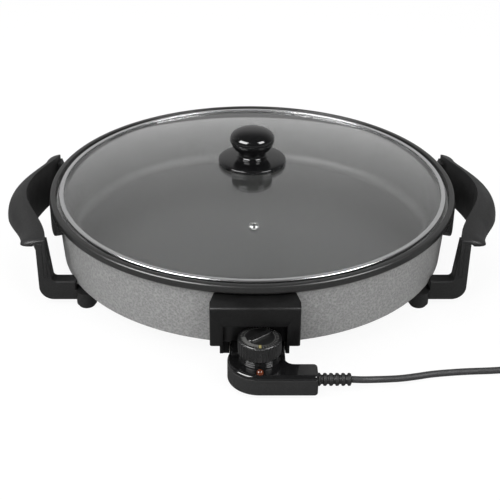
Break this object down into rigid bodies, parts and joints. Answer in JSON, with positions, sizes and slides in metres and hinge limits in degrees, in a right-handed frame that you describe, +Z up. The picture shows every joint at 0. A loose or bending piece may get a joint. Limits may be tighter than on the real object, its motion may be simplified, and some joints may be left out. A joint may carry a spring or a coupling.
{
  "type": "electric pizza pan",
  "caption": "Round electric pizza pan with two side handles, a lift-off domed glass lid, and a plug-in thermostat with a dial, lamp and mains cord.",
  "frame": {"origin": "on the table, under the middle of the overall box without the free cord, its coil and its plug", "axes": "+X runs from the left handle to the right handle, +Y away from the thermostat, +Z up"},
  "size_m": [0.6067, 0.4648, 0.1501],
  "materials": {
    "hammertone_aluminium": "cast aluminium, grey hammertone outside, black non-stick inside and over the rim",
    "black_bakelite": "black bakelite with a satin surface",
    "gloss_black": "glossy black plastic",
    "matte_black": "fine textured black plastic",
    "stainless_steel": "stainless steel",
    "zinc_steel": "zinc plated steel",
    "clear_glass": "clear tempered glass",
    "black_rubber": "black rubber",
    "brass_contact": "plain brass",
    "ceramic_block": null,
    "orange_lens": "translucent orange plastic",
    "cord_sheath": "black rubber sheath"
  },
  "bodies": {
    "pan": {"pan_body": "hammertone_aluminium", "handle_left": "black_bakelite", "handle_right": "black_bakelite", "finger_guard_left": "black_bakelite", "finger_guard_right": "black_bakelite", "handle_screw_left_front": "zinc_steel", "handle_screw_left_rear": "zinc_steel", "handle_screw_right_front": "zinc_steel", "handle_screw_right_rear": "zinc_steel", "rubber_foot_left_front": "black_rubber", "rubber_foot_left_rear": "black_rubber", "rubber_foot_right_front": "black_rubber", "rubber_foot_right_rear": "black_rubber", "terminal_hood": "black_bakelite", "hood_screw_1": "zinc_steel", "hood_screw_2": "zinc_steel", "terminal_block": "ceramic_block", "terminal_block_screw_1": "zinc_steel", "terminal_block_screw_2": "zinc_steel", "terminal_pin_left": "stainless_steel", "terminal_pin_right": "stainless_steel", "probe_sheath": "stainless_steel", "heating_element": "stainless_steel", "element_clip_1": "zinc_steel", "element_clip_2": "zinc_steel", "element_clip_3": "zinc_steel", "element_clip_screw_1": "zinc_steel", "element_clip_screw_2": "zinc_steel", "element_clip_screw_3": "zinc_steel"},
    "lid": {"lid_glass": "clear_glass", "lid_ring": "stainless_steel", "steam_vent": "stainless_steel", "knob_disc": "gloss_black", "knob": "gloss_black", "knob_washer": "black_rubber", "knob_screw": "zinc_steel"},
    "thermostat": {"thermostat_base": "matte_black", "thermostat_cover": "gloss_black", "lamp_lens": "orange_lens", "switch_block": "ceramic_block", "contact_sleeve_left": "brass_contact", "contact_sleeve_right": "brass_contact", "probe_rod": "stainless_steel", "case_screw_1": "zinc_steel", "case_screw_2": "zinc_steel", "case_screw_3": "zinc_steel", "strain_relief": "black_rubber", "cord_free_stretch": "cord_sheath", "cord_coil": "cord_sheath", "cord_plug_lead": "cord_sheath", "cord_tie": "matte_black", "mains_plug": "matte_black", "plug_pin_left": "stainless_steel", "plug_pin_right": "stainless_steel", "plug_strain_relief": "black_rubber"},
    "dial": {"dial": "matte_black", "dial_spindle": "zinc_steel"}
  },
  "joints": [
    {"name": "lid_lift", "type": "slide", "parent": "pan", "child": "lid", "axis": [0, 0, 1], "range_m": [0, 0.15]},
    {"name": "thermostat_pull", "type": "slide", "parent": "pan", "child": "thermostat", "axis": [0, -1, 0], "range_m": [0, 0.08]},
    {"name": "dial_turn", "type": "hinge", "parent": "thermostat", "child": "dial", "pos_m": [0.004, -0.20335, 0.0328], "axis": [0, 0, -1], "range_deg": [0, 270]}
  ]
}
